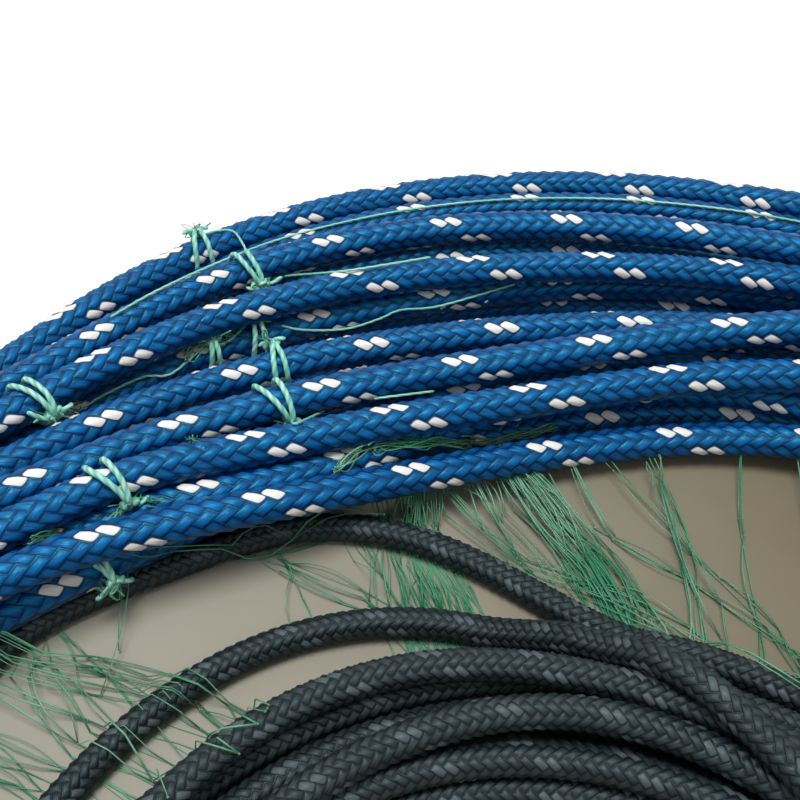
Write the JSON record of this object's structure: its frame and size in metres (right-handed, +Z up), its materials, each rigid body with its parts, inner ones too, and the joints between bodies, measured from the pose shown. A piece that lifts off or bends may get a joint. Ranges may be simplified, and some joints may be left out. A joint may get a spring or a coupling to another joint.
{
  "type": "coiled gill net",
  "caption": "Gill net lying coiled flat: a ring of braided blue float line, a smaller coil of dark lead line inside it, and gathered green netting tied between them.",
  "frame": {"origin": "middle of the coiled net's box, on the surface it lies on", "axes": "+Z up from that surface, +Y towards the side where the lead line's loose loops lie, +X to the right of that"},
  "size_m": [0.4966, 0.506, 0.0278],
  "materials": {
    "float_line": "braided synthetic rope, royal blue with pairs of white flecks, soft sheen",
    "lead_line": "braided synthetic rope, near black, matt",
    "netting": "thin green monofilament, smooth",
    "twine": "thin pale green twine, semi-gloss"
  },
  "bodies": {
    "root": {"float_line": "float_line", "lead_line": "lead_line", "netting": "netting", "tie_01": "twine", "tie_02": "twine", "tie_03": "twine", "tie_04": "twine", "tie_05": "twine", "tie_06": "twine", "tie_07": "twine", "tie_08": "twine", "tie_09": "twine", "tie_10": "twine", "tie_11": "twine", "tie_12": "twine", "tie_13": "twine", "tie_14": "twine", "tie_15": "twine", "tie_16": "twine"}
  },
  "joints": []
}
